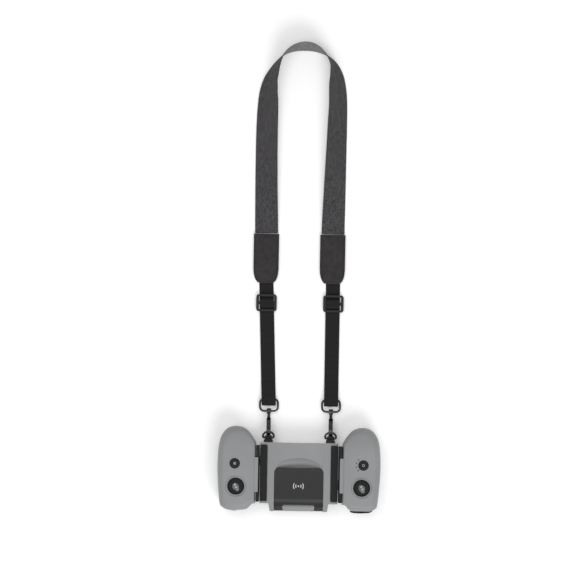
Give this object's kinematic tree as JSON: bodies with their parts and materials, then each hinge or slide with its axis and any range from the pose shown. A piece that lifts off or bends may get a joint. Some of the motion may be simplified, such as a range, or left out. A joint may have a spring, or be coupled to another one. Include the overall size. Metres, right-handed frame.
{
  "type": "radio transmitter controller",
  "caption": "Telescopic radio controller: two grips with joysticks slide out to clamp a phone; folding antenna flap and a detachable neck strap.",
  "frame": {"origin": "middle of the controller's plan at the level of the grips' backs, without the neck strap", "axes": "+X to the user's right along the telescopic slide, +Y towards the user and the neck strap, +Z out of the face with the sticks"},
  "size_m": [0.171, 0.4948, 0.0456],
  "materials": {
    "shell_grey": "fine satin moulded grey",
    "black_plastic": "fine matt moulded black",
    "rubber": "matt rubber",
    "gloss_black": "polished black",
    "steel": "turned bright metal",
    "dark_metal": "black plated, semi gloss",
    "nylon": "natural nylon",
    "circuit_board": "solder mask green",
    "foil": "wrapped cell",
    "lens": "clear light guide",
    "webbing_black": "ribbed nylon webbing",
    "webbing_heather": "heathered twill webbing",
    "leather": "fine grained black leather"
  },
  "bodies": {
    "root": {"centre_front": "shell_grey", "centre_back": "shell_grey", "main_board": "circuit_board", "charge_socket": "steel", "pinion_axle": "steel", "clock_spring": "steel", "hinge_pin_left": "steel", "hinge_pin_right": "steel", "rest_pad_left": "rubber", "rest_pad_right": "rubber", "ring_base_left": "black_plastic", "ring_base_right": "black_plastic"},
    "pinion_gear": {"pinion": "nylon"},
    "flap": {"flap_cover": "black_plastic", "flap_inner_cover": "black_plastic", "antenna_board": "circuit_board"},
    "left_grip": {"grip_front_left": "shell_grey", "grip_back_left": "shell_grey", "jaw_left": "black_plastic", "rack_left": "nylon", "stick_housing_left": "black_plastic", "button_board_left": "circuit_board", "battery_left": "foil", "grip_screw_left": "steel", "dial_encoder": "black_plastic"},
    "left_yoke": {"stick_yoke_left": "nylon"},
    "left_stick": {"stick_left": "gloss_black", "stick_tip_left": "steel"},
    "left_button": {"button_left": "gloss_black"},
    "right_grip": {"grip_front_right": "shell_grey", "grip_back_right": "shell_grey", "jaw_right": "black_plastic", "rack_right": "nylon", "stick_housing_right": "black_plastic", "button_board_right": "circuit_board", "battery_right": "foil", "grip_screw_right": "steel", "light_guide": "lens"},
    "right_yoke": {"stick_yoke_right": "nylon"},
    "right_stick": {"stick_right": "gloss_black", "stick_tip_right": "steel"},
    "right_button": {"button_right": "gloss_black"},
    "dial_wheel": {"dial": "rubber"},
    "shoulder_key": {"shoulder_button": "gloss_black"},
    "neck_strap": {"d_ring_left": "dark_metal", "d_ring_right": "dark_metal", "hook_left": "dark_metal", "hook_right": "dark_metal", "strap_ring_left": "dark_metal", "strap_ring_right": "dark_metal", "lower_webbing_left": "webbing_black", "lower_webbing_right": "webbing_black", "tri_glide_left": "black_plastic", "tri_glide_right": "black_plastic", "leather_tab_left": "leather", "leather_tab_right": "leather", "neck_webbing": "webbing_heather"},
    "left_gate": {"hook_gate_left": "dark_metal"},
    "right_gate": {"hook_gate_right": "dark_metal"}
  },
  "joints": [
    {"name": "right_grip_slide", "type": "slide", "parent": "root", "child": "right_grip", "axis": [1, 0, 0], "range_m": [0, 0.0365], "stiffness_N_per_m": 60, "springref_m": -0.03},
    {"name": "left_grip_slide", "type": "slide", "parent": "root", "child": "left_grip", "axis": [-1, 0, 0], "range_m": [0, 0.0365]},
    {"name": "pinion_turn", "type": "hinge", "parent": "root", "child": "pinion_gear", "pos_m": [0, -0.004, 0.015], "axis": [0, 0, 1], "range_deg": [0, 348.6]},
    {"name": "flap_hinge", "type": "hinge", "parent": "root", "child": "flap", "pos_m": [0, -0.0395, 0.02], "axis": [1, 0, 0], "range_deg": [0, 150]},
    {"name": "left_stick_fore_aft", "type": "hinge", "parent": "left_grip", "child": "left_yoke", "pos_m": [-0.0659, -0.0178, 0.029], "axis": [1, 0, 0], "range_deg": [-18, 18], "stiffness_Nm_per_rad": 0.02},
    {"name": "left_stick_side", "type": "hinge", "parent": "left_yoke", "child": "left_stick", "pos_m": [-0.0659, -0.0178, 0.029], "axis": [0, 1, 0], "range_deg": [-18, 18], "stiffness_Nm_per_rad": 0.02},
    {"name": "left_button_press", "type": "slide", "parent": "left_grip", "child": "left_button", "axis": [0, 0, -1], "range_m": [0, 0.0008], "stiffness_N_per_m": 500, "springref_m": -0.001},
    {"name": "left_hook_gate", "type": "hinge", "parent": "neck_strap", "child": "left_gate", "pos_m": [-0.0327, 0.05089, 0.01169], "axis": [1, 0, 0], "range_deg": [0, 20], "stiffness_Nm_per_rad": 0.01, "springref_deg": -11.46},
    {"name": "right_stick_fore_aft", "type": "hinge", "parent": "right_grip", "child": "right_yoke", "pos_m": [0.0659, -0.0178, 0.029], "axis": [1, 0, 0], "range_deg": [-18, 18], "stiffness_Nm_per_rad": 0.02},
    {"name": "right_stick_side", "type": "hinge", "parent": "right_yoke", "child": "right_stick", "pos_m": [0.0659, -0.0178, 0.029], "axis": [0, 1, 0], "range_deg": [-18, 18], "stiffness_Nm_per_rad": 0.02},
    {"name": "right_button_press", "type": "slide", "parent": "right_grip", "child": "right_button", "axis": [0, 0, -1], "range_m": [0, 0.0008], "stiffness_N_per_m": 500, "springref_m": -0.001},
    {"name": "right_hook_gate", "type": "hinge", "parent": "neck_strap", "child": "right_gate", "pos_m": [0.0327, 0.05089, 0.01169], "axis": [1, 0, 0], "range_deg": [0, 20], "stiffness_Nm_per_rad": 0.01, "springref_deg": -11.46},
    {"name": "dial_turn", "type": "hinge", "parent": "left_grip", "child": "dial_wheel", "pos_m": [-0.0679, -0.0356, 0.013], "axis": [0, 0, 1], "range_deg": [-35, 35], "stiffness_Nm_per_rad": 0.004},
    {"name": "shoulder_press", "type": "slide", "parent": "right_grip", "child": "shoulder_key", "axis": [0, 1, 0], "range_m": [0, 0.0015], "stiffness_N_per_m": 400, "springref_m": -0.001},
    {"name": "strap_swing", "type": "hinge", "parent": "root", "child": "neck_strap", "pos_m": [0, 0.0329, 0.012], "axis": [1, 0, 0], "range_deg": [0, 90]}
  ],
  "couplings": [
    {"joint": "left_grip_slide", "follows": "right_grip_slide", "ratio": 1},
    {"joint": "pinion_turn", "follows": "right_grip_slide", "rad_per_m": 166.67}
  ]
}
